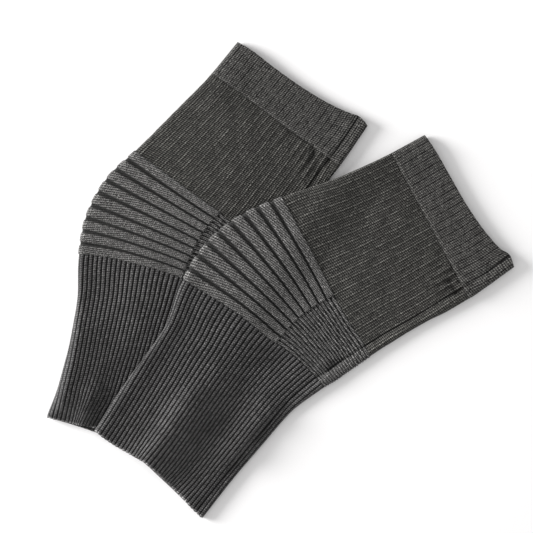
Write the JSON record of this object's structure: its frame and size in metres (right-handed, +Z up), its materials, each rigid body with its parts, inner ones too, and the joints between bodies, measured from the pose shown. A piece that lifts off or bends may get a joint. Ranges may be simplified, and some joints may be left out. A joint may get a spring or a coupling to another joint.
{
  "type": "pair of knee warmers",
  "caption": "Ribbed knit knee warmers lying flat, one across the other, each a flattened tube with a doubled band, padded ridges over the knee and a ribbed calf.",
  "frame": {"origin": "on the table, under the middle of the pair's bounding box", "axes": "+Z up from the table; +X to the right and +Y away, as the pair is seen from above with its bands at the top and right"},
  "size_m": [0.3943, 0.4017, 0.0139],
  "materials": {
    "band_knit": "charcoal fine rib knit of the doubled band, matt",
    "thigh_knit": "charcoal rib knit with raised wales, matt, slightly warm",
    "ridge_knit": "heather grey padded knit ridges, soft and matt, dark in the grooves",
    "back_knit": "charcoal fine cross rib, matt",
    "calf_knit": "charcoal one-and-one rib knit, matt, with a soft halo of fibre"
  },
  "bodies": {
    "root": {"lower_band": "band_knit", "lower_thigh": "thigh_knit", "lower_knee_ridges": "ridge_knit", "lower_knee_back": "back_knit", "lower_calf": "calf_knit", "upper_band": "band_knit", "upper_thigh": "thigh_knit", "upper_knee_ridges": "ridge_knit", "upper_knee_back": "back_knit", "upper_calf": "calf_knit"}
  },
  "joints": []
}
